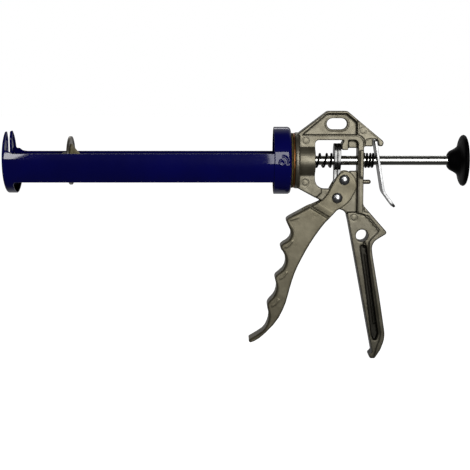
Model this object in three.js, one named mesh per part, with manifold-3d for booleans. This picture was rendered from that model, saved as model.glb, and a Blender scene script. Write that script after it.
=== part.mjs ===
// Caulking gun: swivelling open cradle, die-cast frame with trigger, push rod with piston and knob.
// Millimetres. X runs along the push rod (nose at -X, knob at +X), Z is up, Y = 0 is the middle plane.
// Shapes are drawn with Z measured from the rod axis; the whole part is lifted by AXIS_HEIGHT at the end.
import * as THREE from "three";
import { mergeVertices } from "three/addons/utils/BufferGeometryUtils.js";
import Module from "manifold-3d";

const wasm = await Module();
wasm.setup();

// ---- driving dimensions ----
const HALF_LENGTH = 194; // nose plate face and knob face, each from the middle
const AXIS_HEIGHT = 170; // rod axis above the lowest point of the handle
const GAP = 0.3; // space left between pieces that touch
const ROD_R = 4;
const ROD_BORE_R = 4.35;
const SHEET = 1.2;
const CRADLE_R = 27.4;
const CRADLE_END_X = 42.6;
const NOSE_BEND = 1.6; // outside bend between nose plate and rim
const RIM_END_X = -186.3; // rear edge of the nose rim at the bottom
const HORN_END_X = -191.6; // rear edge of the low rim round the horns
const HORN_FOOT = 9.6; // height of the step between horns and rails
const RAIL_TOP = 6.9;
const RAIL_BOTTOM = -17.3;
const NOTCH_HALF = 7.4; // half width of the nozzle notch
const REAR_CUP_R = 28.5;
const REAR_CUP_X = [31.3, 45.7];
const REAR_CUP_BEND = 3;
const CRADLE_RIVET_X = 37.6;
const CRADLE_RIVET_R = 2;
const WASHER_R = 23.3;
const WASHER_BORE_R = 9.35;
const FIBRE_X = [46, 47.3];
const COPPER_X = [47.6, 48.9];
const FLANGE_R = 23.8;
const FLANGE_X = [49.2, 52.5];
const BOSS_R = 14.8;
const BOSS_END_X = 66.4;
const HUB_R = 9;
const HUB_X = [39.2, 56.2];
const HUB_NUT_X = [40.2, 44.3];
const HUB_NUT_FLATS = 25;
const FRAME_HALF = 9;
const WEB_HALF = 3.2; // half thickness of the recessed panel
const BAY_HALF = 4.6; // half thickness of the frame between the trigger cheeks
const BAND_HALF = 8; // half thickness of the flat band down the front of the handle
const CHANNEL_HALF = 2.6; // half thickness at the floor of the handle's channel
const WALL_X = [102.4, 107.3];
const WALL_PAD = { x: [104.2, 107.3], z: [-14.2, 8.7], half: 9.8 };
const PIVOT = [85.2, -31.3];
const DRIVE = [91.1, -16];
const PIVOT_BOSS_R = 9.6;
const RIVET_R = 2.6;
const RIVET_HEAD_R = 4.5;
const RIVET_HEAD_HEIGHT = 2.7;
const CHEEK_IN = 5;
const CHEEK_OUT = 8.2;
const FINGER_HALF = 10;
const PLATE_FRONT_X = [82.4, 85.1];
const PLATE_REAR_X = [85.4, 88.2];
const PLATE_HEAD_R = 8.5;
const PLATE_HEAD_TOP = 14.6;
const TONGUE_HALF = 4.2;
const TONGUE_BOTTOM = -19;
const SPRING_R = 6.5; // outside radius of both springs
const SPRING_WIRE_R = 0.7;
const SPRING_SEAT_R = 7.2;
const MAIN_SPRING_X = [61, 82.1];
const MAIN_SPRING_TURNS = 4.3;
const RELEASE_SPRING_X = [107.6, 117.3];
const RELEASE_SPRING_TURNS = 3.2;
const RELEASE_THICK = 2.1;
const RELEASE_HALF = 9.5;
const RELEASE_BORE_R = 4.9;
const PEG_R = 1.9;
const PEG_Z = -18.2;
const PEG_X = [104.5, 114.4];
const HANG_SLOT = { x: 84.8, z: 31, half: 8.7, r: 4.65 };
const HANDLE_HOLE = { x: 106.6, z: -63.5, r: 5.1 };
const PISTON_R = 20.6;
const PISTON_X = [-141.8, -140.2];
const ROD_X = [-148, 188.8];
const KNOB_R = 21.7;
const KNOB_FRONT_X = 178.9;
const KNOB_SOCKET_END_X = 190.4;

// ---- helpers ----
const v2 = ([x, y]) => new THREE.Vector2(x, y);

// Outline through corners [x, z, radius]; a corner with a radius is rounded by an arc.
function outline(corners, path = new THREE.Shape()) {
  corners.forEach(([x, z, r = 0], i) => {
    const at = v2([x, z]);
    if (!r) return i ? path.lineTo(x, z) : path.moveTo(x, z);
    const back = v2(corners.at(i - 1)).sub(at).normalize();
    const on = v2(corners[(i + 1) % corners.length]).sub(at).normalize();
    const half = Math.acos(back.dot(on)) / 2;
    const centre = back.clone().add(on).setLength(r / Math.sin(half)).add(at);
    const reach = r / Math.tan(half);
    const from = back.clone().multiplyScalar(reach).add(at).sub(centre);
    const to = on.clone().multiplyScalar(reach).add(at).sub(centre);
    const start = from.angle();
    if (i) path.lineTo(centre.x + r * Math.cos(start), centre.y + r * Math.sin(start));
    path.absarc(centre.x, centre.y, r, start, to.angle(), back.cross(on) > 0);
  });
  return path;
}

// Welds a geometry and drops the triangles that shrink to nothing.
function welded(geometry) {
  const bare = geometry.clone();
  bare.deleteAttribute("normal");
  bare.deleteAttribute("uv");
  const merged = mergeVertices(bare, 1e-4);
  const kept = [];
  const index = merged.index.array;
  for (let i = 0; i < index.length; i += 3) {
    const [a, b, c] = index.slice(i, i + 3);
    if (a !== b && b !== c && c !== a) kept.push(a, b, c);
  }
  merged.setIndex(kept);
  return merged;
}

function solid(geometry) {
  const g = welded(geometry);
  return new wasm.Manifold(
    new wasm.Mesh({
      numProp: 3,
      vertProperties: new Float32Array(g.attributes.position.array),
      triVerts: new Uint32Array(g.index.array),
    }),
  );
}

function geometryOf(manifold) {
  const { vertProperties, triVerts } = manifold.getMesh();
  const g = new THREE.BufferGeometry();
  g.setAttribute("position", new THREE.Float32BufferAttribute(vertProperties, 3));
  g.setIndex([...triVerts]);
  return g;
}

const cut = (body, ...tools) => tools.reduce((left, tool) => left.subtract(tool), body);
const join = (...bodies) => bodies.reduce((all, body) => all.add(body));

// A side view (x, z) given a thickness about the middle plane.
function slab(shape, half, { bevel = 0, curveSegments = 4 } = {}) {
  const g = new THREE.ExtrudeGeometry(shape, {
    depth: 2 * (half - bevel),
    curveSegments,
    bevelEnabled: bevel > 0,
    bevelThickness: bevel,
    bevelSize: bevel,
    bevelOffset: -bevel,
    bevelSegments: 2,
  });
  g.translate(0, 0, bevel - half);
  g.rotateX(Math.PI / 2);
  return g;
}

// An end view (y, z) run along X.
function bar(shape, [x0, x1], curveSegments = 16) {
  const g = new THREE.ExtrudeGeometry(shape, {
    depth: x1 - x0,
    curveSegments,
    bevelEnabled: false,
  });
  const axes = [new THREE.Vector3(0, 1, 0), new THREE.Vector3(0, 0, 1), new THREE.Vector3(1, 0, 0)];
  g.applyMatrix4(new THREE.Matrix4().makeBasis(...axes));
  g.translate(x0, 0, 0);
  return g;
}

// A profile [along, radius] turned about the Y axis; the outside runs towards +along.
const turnedY = (profile, segments = 32) =>
  new THREE.LatheGeometry(profile.map(([a, r]) => new THREE.Vector2(r, a)), segments);

// The same, turned about the X axis.
const turned = (profile, segments = 36) => turnedY(profile, segments).rotateZ(-Math.PI / 2);

// A ring or tube about the X axis.
const ring = ([x0, x1], outer, inner, segments = 40) =>
  turned([[x0, inner], [x0, outer], [x1, outer], [x1, inner], [x0, inner]], segments);

const disc = ([x0, x1], r, segments = 40) => turned([[x0, 0], [x0, r], [x1, r], [x1, 0]], segments);

// A pin along Y through (x, z).
const pinY = ([x, z], r, half, segments = 32) =>
  new THREE.CylinderGeometry(r, r, 2 * half, segments).translate(x, 0, z);

// Points on a quarter turn from angle a to angle b about (x, r), for a turned profile.
function arcPoints(x, r, radius, a, b, steps = 3) {
  return Array.from({ length: steps + 1 }, (_, i) => {
    const t = a + ((b - a) * i) / steps;
    return [x + radius * Math.cos(t), r + radius * Math.sin(t)];
  });
}

// Cuts the same pocket into both faces of the frame, leaving a floor of the given half thickness.
function pocket(body, shape, floorHalf) {
  const tool = solid(slab(shape, FRAME_HALF + 2));
  return cut(body, cut(tool, solid(slab(bigBlock(), floorHalf))));
}

const bigBlock = () => outline([[-400, -400], [400, -400], [400, 400], [-400, 400]]);

// ---- cradle ----
// The notch for the cartridge's nozzle, seen from the end, flared at its mouth.
const notchOutline = (half) =>
  outline([
    [-half - 8, 30], [-half, 18.5, 6], [-half, -half, half - 0.01], [half, -half, half - 0.01],
    [half, 18.5, 6], [half + 8, 30],
  ]);

// One pressing: nose cup with a lipped notch for the nozzle, and two side rails.
function cradlePressing() {
  const front = -HALF_LENGTH;
  const [outer, inner, bend] = [CRADLE_R, CRADLE_R - SHEET, NOSE_BEND];
  const shell = solid(
    turned([
      [front, 0],
      ...arcPoints(front + bend, outer - bend, bend, Math.PI, Math.PI / 2),
      [CRADLE_END_X, outer],
      [CRADLE_END_X, inner],
      ...arcPoints(front + bend, outer - bend, bend - SHEET, Math.PI / 2, Math.PI),
      [front + SHEET, 0],
    ], 52),
  );
  const lipDepth = [front + SHEET / 2, HORN_END_X];
  const lip = solid(bar(notchOutline(NOTCH_HALF + SHEET), lipDepth, 12)).intersect(
    solid(disc(lipDepth, outer - SHEET / 2, 52)),
  );
  const top = outline([
    [HORN_END_X, 40], [HORN_END_X, HORN_FOOT, 1.2], [HORN_END_X + 2.7, HORN_FOOT, 1],
    [HORN_END_X + 6.2, RAIL_TOP, 3], [80, RAIL_TOP], [80, 40],
  ]);
  const bottom = outline([[RIM_END_X, -40], [RIM_END_X, RAIL_BOTTOM, 3], [80, RAIL_BOTTOM], [80, -40]]);
  const rivetHoles = pinY([CRADLE_RIVET_X, 0], CRADLE_RIVET_R + GAP, 40);
  return geometryOf(
    cut(
      join(shell, lip),
      solid(slab(top, 40)),
      solid(slab(bottom, 40)),
      solid(bar(notchOutline(NOTCH_HALF), [front - 5, front + 30], 12)),
      solid(rivetHoles),
    ),
  );
}

// Cup at the back of the cradle, open to the front, that turns on the hub tube.
function rearCup() {
  const [x0, x1] = REAR_CUP_X;
  const inner = CRADLE_R + GAP;
  const wall = REAR_CUP_R - inner;
  const bend = REAR_CUP_BEND;
  const cup = turned([
    [x1 - wall, WASHER_BORE_R],
    ...arcPoints(x1 - bend, REAR_CUP_R - bend, bend - wall, 0, Math.PI / 2),
    [x0, inner],
    [x0, REAR_CUP_R],
    ...arcPoints(x1 - bend, REAR_CUP_R - bend, bend, Math.PI / 2, 0),
    [x1, WASHER_BORE_R],
    [x1 - wall, WASHER_BORE_R],
  ], 52);
  return geometryOf(cut(solid(cup), solid(pinY([CRADLE_RIVET_X, 0], CRADLE_RIVET_R + GAP, 40))));
}

// Small rivet through rail and cup; side is -1 or +1.
function cradleRivet(side) {
  const shank = CRADLE_RIVET_R;
  const [inside, outside] = [CRADLE_R - SHEET - GAP, REAR_CUP_R + GAP];
  const rivet = turnedY([
    [inside - 1, 0], [inside - 1, shank + 1], [inside, shank + 1], [inside, shank], [outside, shank],
    [outside, shank + 1.2], [outside + 0.5, shank + 0.8], [outside + 0.7, 0],
  ], 24);
  if (side < 0) rivet.rotateX(Math.PI);
  return rivet.translate(CRADLE_RIVET_X, 0, 0);
}

// ---- frame ----
function frameOutline() {
  const shape = outline([
    [51, 22.4], [76.7, 41.8, 2.5], [93, 41.8, 2.5], [124.2, 16, 3], [122.8, 12.2, 1.7], [119.6, 12.2, 1.3],
    [118.5, 18, 0.8], [114.4, 18, 0.8], [114.8, 12, 1.2], [WALL_X[1], 12.3, 1.2],
    [WALL_X[1], -37.4, 5], [128.4, -61.2, 1.9], [114.6, -69.8, 9], [116, -81], [122.4, -117],
    [127.9, -151.4, 24], [123.8, -162.6, 12], [118.9, -170, 1.3], [114.9, -170, 1.2], [113.9, -167.3, 0.8],
    [116.7, -164.8, 2], [95.4, -53.6], [92.6, -41.6, 7], [85.4, -41.4, 6], [51, -22.8],
  ]);
  shape.holes.push(stadium(HANG_SLOT));
  return shape;
}

// The opening the gripping plates and the main spring work in.
function windowOutline() {
  return outline([
    [66.2, 17.4, 3], [90.4, 17.4], [88.8, 14], [88.8, 9.1, 0.6], [94, 9.1, 0.5], [94.4, 10.6],
    [WALL_X[0], 10.6, 1], [WALL_X[0], -8.9, 1], [95.6, -8.9, 1.2], [95.6, -24, 3], [66.2, -24, 9],
  ]);
}

function stadium({ x, z, half, r }) {
  const path = new THREE.Path();
  path.absarc(x + half - r, z, r, -Math.PI / 2, Math.PI / 2, false);
  path.absarc(x - half + r, z, r, Math.PI / 2, 1.5 * Math.PI, false);
  return path;
}

const panelPocket = () =>
  outline([[54.6, 21.5], [76, 39.7, 2], [92.8, 39.7, 2], [101.7, 32, 2], [101.7, 21.5, 0.6]]);
const lugPocket = () => outline([[94, 17.4], [WALL_X[0], 17.4, 3.6], [WALL_X[0], 8], [94, 8]]);
const triggerBay = () =>
  outline([
    [71.4, 8], [WALL_X[0], 8], [WALL_X[0], -43.8, 0.8], [94.6, -43.8], [88, -60], [60, -60], [60, -37],
    [71.4, -27],
  ]);
// The face of the handle inside its raised rear rim.
const handleFace = () =>
  outline([
    [80, -43.8], [102.4, -43.8], [108.2, -45, 4], [112, -48.4, 6], [121.4, -59.6, 1.5], [112.8, -68.4, 7],
    [113, -79], [119, -115.5], [124.2, -150.4, 16], [120.4, -161, 6], [116, -180], [90, -180],
  ]);
const handleChannel = () =>
  outline([
    [104.8, -71.2, 2], [110.6, -71.6, 1.5], [112.6, -86], [116.8, -115.5], [122, -148.6, 5],
    [118.9, -158, 1.8], [115.6, -149], [112.8, -127.5], [109.4, -101.5], [106.3, -82],
  ]);

function wallPad() {
  const [[x0, x1], [z0, z1]] = [WALL_PAD.x, WALL_PAD.z];
  return outline([[x0, z0, 1.5], [x1, z0, 1.5], [x1, z1], [x0, z1]]);
}

function frameCasting() {
  const bores = [
    slab(windowOutline(), FRAME_HALF + 2),
    disc([0, 200], ROD_BORE_R, 40),
    disc([HUB_X[1] - 10, HUB_X[1] + GAP], HUB_R + GAP, 32),
    disc([MAIN_SPRING_X[0] - GAP, 75], SPRING_SEAT_R, 32),
    pinY(PIVOT, RIVET_R + GAP, 20),
    pinY([HANDLE_HOLE.x, HANDLE_HOLE.z], HANDLE_HOLE.r, 20),
    disc([PEG_X[0] - GAP, 120], PEG_R + GAP, 24).translate(0, 0, PEG_Z),
  ];
  let casting = solid(slab(frameOutline(), FRAME_HALF, { bevel: 0.5, curveSegments: 3 }));
  for (const [shape, floor] of [
    [panelPocket(), WEB_HALF], [lugPocket(), WEB_HALF], [triggerBay(), BAY_HALF],
    [handleFace(), BAND_HALF], [handleChannel(), CHANNEL_HALF],
  ]) {
    casting = pocket(casting, shape, floor);
  }
  const round = join(
    solid(disc(FLANGE_X, FLANGE_R, 48)),
    solid(disc([FLANGE_X[1] - 1, BOSS_END_X], BOSS_R, 40)),
    solid(slab(wallPad(), WALL_PAD.half)),
  );
  const boss = solid(pinY(PIVOT, PIVOT_BOSS_R, BAY_HALF, 40));
  return geometryOf(cut(join(casting, round, boss), ...bores.map(solid)));
}

// Round-ended peg in the rear wall that stops the release plate.
const stopPeg = () =>
  turned([
    [PEG_X[0], 0], [PEG_X[0], PEG_R], ...arcPoints(PEG_X[1] - PEG_R, 0, PEG_R, Math.PI / 2, 0, 5),
  ], 24).translate(0, 0, PEG_Z);

// Steel tube the cradle turns on; the rod slides through it.
const hubTube = () => ring(HUB_X, HUB_R, ROD_BORE_R);

function hexagon(flats, bore) {
  const shape = new THREE.Shape();
  for (let i = 0; i < 6; i++) {
    const corner = new THREE.Vector2(flats / Math.sqrt(3), 0).rotateAround(v2([0, 0]), (i * Math.PI) / 3);
    if (i) shape.lineTo(corner.x, corner.y);
    else shape.moveTo(corner.x, corner.y);
  }
  shape.holes.push(new THREE.Path().absarc(0, 0, bore, 0, 2 * Math.PI, true));
  return shape;
}

const hubNut = () => bar(hexagon(HUB_NUT_FLATS, HUB_R + GAP), HUB_NUT_X, 20);

// Domed rivet through the middle plane, outside the trigger cheeks.
function domedRivet([x, z]) {
  const seat = CHEEK_OUT + GAP;
  const dome = arcPoints(0, 0, 1, 0, Math.PI / 2, 3).map(([r, h]) => [
    seat + 0.4 + (RIVET_HEAD_HEIGHT - 0.4) * h,
    RIVET_HEAD_R * r,
  ]);
  const half = [[0, RIVET_R], [seat, RIVET_R], [seat, RIVET_HEAD_R], ...dome];
  const other = half.slice(1).reverse().map(([y, r]) => [-y, r]);
  other[0][1] = 0;
  half.at(-1)[1] = 0;
  return turnedY([...other, ...half], 20).translate(x, 0, z);
}

// ---- trigger ----
function triggerOutline() {
  const shape = new THREE.Shape();
  shape.moveTo(85.3, -41.9);
  shape.splineThru([[88.6, -40.2], [95.4, -34.7], [100.6, -26], [101.8, -19.5], [99.6, -13], [95.6, -9.4],
    [91.2, -8.7], [87.2, -10.6], [84.4, -14.2]].map(v2));
  shape.lineTo(79.2, -23.3);
  shape.splineThru([[76.6, -28.4], [71.9, -33.6], [66.6, -36.4], [60.8, -38.8]].map(v2));
  shape.lineTo(45, -47.4);
  shape.splineThru(fingerGrooves().map(v2));
  shape.splineThru([[12, -156], [21.2, -150.9], [34.4, -137.1], [41.6, -122.8], [45.5, -108.8],
    [49.9, -94.9], [56.4, -81.2], [64.3, -67.4], [74, -53.8], [80.7, -46.9], [85.3, -41.9]].map(v2));
  return shape;
}

// Crests and hollows down the front of the trigger, ending at its forward-curled tip.
const fingerGrooves = () => [
  [42.4, -49.6], [42.9, -53], [46.5, -61], [44.4, -66.8], [38.4, -70.9], [37.4, -74], [40.4, -78.6],
  [42, -85.4], [39.8, -92.2], [33.6, -97.7], [32.8, -101], [34.3, -107], [32.4, -114.6], [27.2, -120.7],
  [26.2, -124.6], [27.7, -131.6], [26.6, -138.6], [22.8, -145.4], [14.4, -151], [10.4, -153.4],
];

function trigger() {
  const side = triggerOutline();
  const cheeks = solid(slab(side, CHEEK_OUT, { bevel: 0.6, curveSegments: 2 }));
  const fingers = solid(slab(side, FINGER_HALF, { bevel: 1.2, curveSegments: 2 }));
  // The thick finger section starts at a slanted step below the cheeks.
  const aboveStep = outline([[62.6, -37.2], [78.8, -47.2], [110, -66], [110, 20], [20, 20], [20, -11]]);
  // Gap between the cheeks that runs on as the hollow back of the finger section.
  const slot = outline([
    [50, -10], [56.5, -43.5, 2], [53, -52, 6], [52.5, -62, 10], [47.5, -77, 20], [44, -90, 20],
    [41, -101, 20], [38, -114, 20], [33.4, -125, 20], [30.6, -135, 4], [40, -150], [110, -70], [110, 0],
  ]);
  const body = join(cheeks, cut(fingers, solid(slab(aboveStep, 20))));
  const holes = [PIVOT, DRIVE].map((at) => solid(pinY(at, RIVET_R + GAP, 20)));
  return geometryOf(cut(body, solid(slab(slot, CHEEK_IN)), ...holes));
}

// ---- gripping plates and springs ----
function grippingPlate(span) {
  const neck = Math.sqrt(PLATE_HEAD_R ** 2 - TONGUE_HALF ** 2);
  const shape = new THREE.Shape();
  shape.moveTo(TONGUE_HALF, TONGUE_BOTTOM + 1.5);
  shape.absarc(0, 0, PLATE_HEAD_R, Math.atan2(-neck, TONGUE_HALF), 0, false);
  shape.absarc(0, PLATE_HEAD_TOP - PLATE_HEAD_R, PLATE_HEAD_R, 0, Math.PI, false);
  shape.absarc(0, 0, PLATE_HEAD_R, Math.PI, Math.PI + Math.atan2(neck, TONGUE_HALF), false);
  shape.lineTo(-TONGUE_HALF, TONGUE_BOTTOM + 1.5);
  shape.lineTo(1.5 - TONGUE_HALF, TONGUE_BOTTOM);
  shape.lineTo(TONGUE_HALF - 1.5, TONGUE_BOTTOM);
  shape.holes.push(new THREE.Path().absarc(0, 0, ROD_BORE_R, 0, 2 * Math.PI, true));
  return bar(shape, span, 10);
}

// A helix about X whose first and last turns close up.
class Coil extends THREE.Curve {
  constructor([x0, x1], turns) {
    super();
    Object.assign(this, { x0: x0 + SPRING_WIRE_R, x1: x1 - SPRING_WIRE_R, turns });
  }
  getPoint(t, target = new THREE.Vector3()) {
    const closed = 0.8 / this.turns; // share of the coil in each closed end
    const lead = 2.2 * SPRING_WIRE_R * (closed * this.turns);
    const span = this.x1 - this.x0;
    const rise = (u) => {
      if (u < closed) return (lead * u) / closed;
      if (u > 1 - closed) return span - (lead * (1 - u)) / closed;
      return lead + ((span - 2 * lead) * (u - closed)) / (1 - 2 * closed);
    };
    const angle = 2 * Math.PI * this.turns * t;
    const r = SPRING_R - SPRING_WIRE_R;
    return target.set(this.x0 + rise(t), r * Math.sin(angle), r * Math.cos(angle));
  }
}

function spring(span, turns) {
  const wire = new THREE.Shape().absarc(0, 0, SPRING_WIRE_R, 0, 2 * Math.PI);
  return new THREE.ExtrudeGeometry(wire, {
    steps: Math.round(18 * turns),
    curveSegments: 3,
    extrudePath: new Coil(span, turns),
  });
}

// ---- release plate ----
// A bent strip: top in the frame's notch, through the rod, thumb tail at the bottom.
function releasePlate() {
  const side = outline([
    [115.9, 16.9, 0.6], [115.9 + RELEASE_THICK, 17.2, 0.6], [125.2, -25.8, 12 - RELEASE_THICK],
    [134.7, -38.5, 0.9], [133, -39.8, 0.9], [123.2, -26.6, 12],
  ]);
  const strip = solid(slab(side, RELEASE_HALF, { bevel: 0.3 }));
  return geometryOf(cut(strip, solid(disc([100, 140], RELEASE_BORE_R, 40))));
}

// ---- push rod ----
const pushRod = () =>
  turned([
    [ROD_X[0], 0], [ROD_X[0], ROD_R - 0.8], [ROD_X[0] + 0.8, ROD_R], [ROD_X[1] - 0.8, ROD_R],
    [ROD_X[1], ROD_R - 0.8], [ROD_X[1], 0],
  ], 40);

// Thin piston with its rim turned slightly back.
function pistonPlate() {
  const [x0, x1] = PISTON_X;
  return turned([
    [x0, ROD_BORE_R], [x0, PISTON_R - 0.6], [x0 + 0.4, PISTON_R], [x1 + 0.8, PISTON_R],
    [x1 + 0.8, PISTON_R - 0.9], [x1, PISTON_R - 1.8], [x1, ROD_BORE_R], [x0, ROD_BORE_R],
  ]);
}

function pistonCone() {
  const x0 = PISTON_X[1] + GAP;
  return turned([
    [x0, ROD_BORE_R], [x0, 14.2], [x0 + 0.9, 14.2], [x0 + 6.4, 6.6], [x0 + 7, 5.8], [x0 + 7, ROD_BORE_R],
    [x0, ROD_BORE_R],
  ], 48);
}

const pistonWasher = () => ring([PISTON_X[0] - GAP - 1.4, PISTON_X[0] - GAP], 9, ROD_BORE_R, 40);
const pistonNut = () =>
  bar(hexagon(13, ROD_BORE_R), [PISTON_X[0] - 2 * GAP - 5, PISTON_X[0] - 2 * GAP - 1.4], 10);

function pullKnob() {
  const [front, back] = [KNOB_FRONT_X, HALF_LENGTH];
  const socket = 6.5;
  return turned([
    [front, ROD_BORE_R], [front, 5.8], [front + 0.9, 7.1], [front + 3.5, 8.9], [front + 5.9, 10.2],
    [front + 8.3, 12.1], [front + 9.7, 13.9], [front + 10.5, 17.6], [front + 11.4, 20.2],
    [front + 12.7, 21.5], [front + 13.6, KNOB_R],
    ...arcPoints(back - 1.8, KNOB_R - 1.9, 1.8, Math.PI / 3, 0, 3),
    [back, 12], [back - 0.6, 0], [KNOB_SOCKET_END_X, 0], [KNOB_SOCKET_END_X, socket], [front + 5, socket],
    [front + 5, ROD_BORE_R], [front, ROD_BORE_R],
  ]);
}

const knobInsert = () => ring([KNOB_FRONT_X + 5 + GAP, KNOB_SOCKET_END_X - GAP], 6.2, ROD_BORE_R, 40);

// ---- assembly ----
const FINISH = {
  paint: [0x1c2452, 0.1, 0.3],
  casting: [0x9a9788, 0.35, 0.5],
  lever: [0x8a8577, 0.35, 0.45],
  steel: [0xb9bcbe, 0.95, 0.25],
  spring: [0x17181a, 0.8, 0.4],
  copper: [0xb0713f, 0.95, 0.35],
  fibre: [0x6d6844, 0, 0.8],
  zinc: [0xa8a99c, 0.9, 0.4],
  brass: [0xc2a154, 0.95, 0.3],
  plastic: [0x15161c, 0, 0.45],
};

const PIECES = [
  ["frame_casting", frameCasting(), "casting"],
  ["stop_peg", stopPeg(), "steel"],
  ["hub_tube", hubTube(), "steel"],
  ["hub_nut", hubNut(), "zinc"],
  ["pivot_rivet", domedRivet(PIVOT), "steel"],
  ["copper_washer", ring(COPPER_X, WASHER_R, WASHER_BORE_R), "copper"],
  ["fibre_washer", ring(FIBRE_X, WASHER_R, WASHER_BORE_R), "fibre"],
  ["cradle_pressing", cradlePressing(), "paint"],
  ["rear_cup", rearCup(), "paint"],
  ["cradle_rivet_left", cradleRivet(-1), "paint"],
  ["cradle_rivet_right", cradleRivet(1), "paint"],
  ["push_rod", pushRod(), "steel"],
  ["piston_plate", pistonPlate(), "zinc"],
  ["piston_cone", pistonCone(), "zinc"],
  ["piston_washer", pistonWasher(), "zinc"],
  ["piston_nut", pistonNut(), "zinc"],
  ["pull_knob", pullKnob(), "plastic"],
  ["knob_insert", knobInsert(), "brass"],
  ["trigger", trigger(), "lever"],
  ["drive_rivet", domedRivet(DRIVE), "steel"],
  ["grip_plate_front", grippingPlate(PLATE_FRONT_X), "steel"],
  ["grip_plate_rear", grippingPlate(PLATE_REAR_X), "steel"],
  ["main_spring", spring(MAIN_SPRING_X, MAIN_SPRING_TURNS), "spring"],
  ["release_plate", releasePlate(), "steel"],
  ["release_spring", spring(RELEASE_SPRING_X, RELEASE_SPRING_TURNS), "spring"],
];

const group = new THREE.Group();
for (const [name, geometry, finish] of PIECES) {
  const [color, metalness, roughness] = FINISH[finish];
  const piece = welded(geometry).translate(0, 0, AXIS_HEIGHT);
  const mesh = new THREE.Mesh(piece, new THREE.MeshStandardMaterial({ color, metalness, roughness }));
  mesh.name = name;
  group.add(mesh);
}

export default group;
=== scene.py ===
"""Looks of the caulking gun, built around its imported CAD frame.

Shapes are written in millimetres, with X along the push rod, Y across the gun and Z measured from the
rod axis; the helpers turn them into metres in the frame's own axes.
"""

import math

import bmesh
import bpy
import numpy as np
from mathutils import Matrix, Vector


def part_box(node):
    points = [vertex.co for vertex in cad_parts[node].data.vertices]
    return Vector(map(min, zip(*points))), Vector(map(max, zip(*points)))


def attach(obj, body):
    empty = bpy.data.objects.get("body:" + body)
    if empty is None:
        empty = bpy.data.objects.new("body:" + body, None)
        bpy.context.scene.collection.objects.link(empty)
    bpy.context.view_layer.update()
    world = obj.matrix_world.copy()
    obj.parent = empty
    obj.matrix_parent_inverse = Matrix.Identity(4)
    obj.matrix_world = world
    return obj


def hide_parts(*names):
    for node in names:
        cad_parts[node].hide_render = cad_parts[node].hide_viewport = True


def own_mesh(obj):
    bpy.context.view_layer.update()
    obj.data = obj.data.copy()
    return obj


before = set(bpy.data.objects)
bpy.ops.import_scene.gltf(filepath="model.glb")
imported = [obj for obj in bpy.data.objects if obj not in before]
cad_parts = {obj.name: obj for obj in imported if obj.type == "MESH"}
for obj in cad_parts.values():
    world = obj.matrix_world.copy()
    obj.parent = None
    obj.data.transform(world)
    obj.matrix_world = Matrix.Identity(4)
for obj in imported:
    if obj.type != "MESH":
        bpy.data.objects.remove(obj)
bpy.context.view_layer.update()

# ---- units and places taken from the frame ----
MM = 0.001
SEGMENTS = 144  # round the large turned pieces
AXIS_Z = sum(corner.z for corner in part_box("push_rod")) / 2


def node_mm(node):
    """A CAD node's corners in millimetres, z from the rod axis."""
    low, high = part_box(node)
    lift = Vector((0, 0, AXIS_Z))
    return (low - lift) / MM, (high - lift) / MM


CRADLE_LOW, CRADLE_HIGH = node_mm("cradle_pressing")
CUP_LOW, CUP_HIGH = node_mm("rear_cup")
ROD_LOW, ROD_HIGH = node_mm("push_rod")
ROD_R = ROD_HIGH.z
KNOB_LOW, KNOB_HIGH = node_mm("pull_knob")
BORE_R = ROD_R + 0.35
HUB_BORE_R = 9.35  # in the cup and the washers, round the hub tube
HUB_NUT_BORE_R = 9.3
SHEET = 1.2  # thickness of the cradle's sheet
GAP = 0.3
PAST = 1  # how far a cutting tool runs past the piece it cuts


# ---- mesh helpers ----
def link(name, mesh):
    obj = bpy.data.objects.new(name, mesh)
    bpy.context.scene.collection.objects.link(obj)
    return obj


def closed_mesh(name, points, faces):
    """A mesh from millimetre points, with its faces turned outwards."""
    mesh = bpy.data.meshes.new(name)
    mesh.from_pydata([(x * MM, y * MM, z * MM + AXIS_Z) for x, y, z in points], [], faces)
    bm = bmesh.new()
    bm.from_mesh(mesh)
    bmesh.ops.recalc_face_normals(bm, faces=bm.faces)
    bm.to_mesh(mesh)
    bm.free()
    return link(name, mesh)


def apply_modifiers(obj):
    graph = bpy.context.evaluated_depsgraph_get()
    mesh = bpy.data.meshes.new_from_object(obj.evaluated_get(graph))
    obj.modifiers.clear()
    obj.data = mesh
    return obj


def fillet(corners, step=math.radians(10)):
    """A closed outline through corners (a, b, radius); a corner with a radius becomes an arc."""
    points = []
    for i, corner in enumerate(corners):
        at = Vector(corner[:2])
        r = corner[2] if len(corner) > 2 else 0
        if not r:
            points.append(tuple(at))
            continue
        back = (Vector(corners[i - 1][:2]) - at).normalized()
        on = (Vector(corners[(i + 1) % len(corners)][:2]) - at).normalized()
        half = back.angle(on) / 2
        centre = at + (back + on).normalized() * (r / math.sin(half))
        start = at + back * (r / math.tan(half)) - centre
        end = at + on * (r / math.tan(half)) - centre
        a0 = math.atan2(start.y, start.x)
        turn = (math.atan2(end.y, end.x) - a0 + math.pi) % (2 * math.pi) - math.pi
        count = max(2, math.ceil(abs(turn) / step))
        for k in range(count + 1):
            a = a0 + turn * k / count
            points.append((centre.x + r * math.cos(a), centre.y + r * math.sin(a)))
    return points


def smooth_line(points, steps=6):
    """A Catmull-Rom curve through points, its ends kept."""
    knots = [np.array(p, float) for p in [points[0], *points, points[-1]]]
    line = []
    for a, b, c, d in zip(knots, knots[1:], knots[2:], knots[3:]):
        for k in range(steps):
            t = k / steps
            square, cube = 2 * a - 5 * b + 4 * c - d, 3 * b - a - 3 * c + d
            line.append(0.5 * (2 * b + (c - a) * t + square * t**2 + cube * t**3))
    return [tuple(p) for p in [*line, knots[-1]]]


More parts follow.
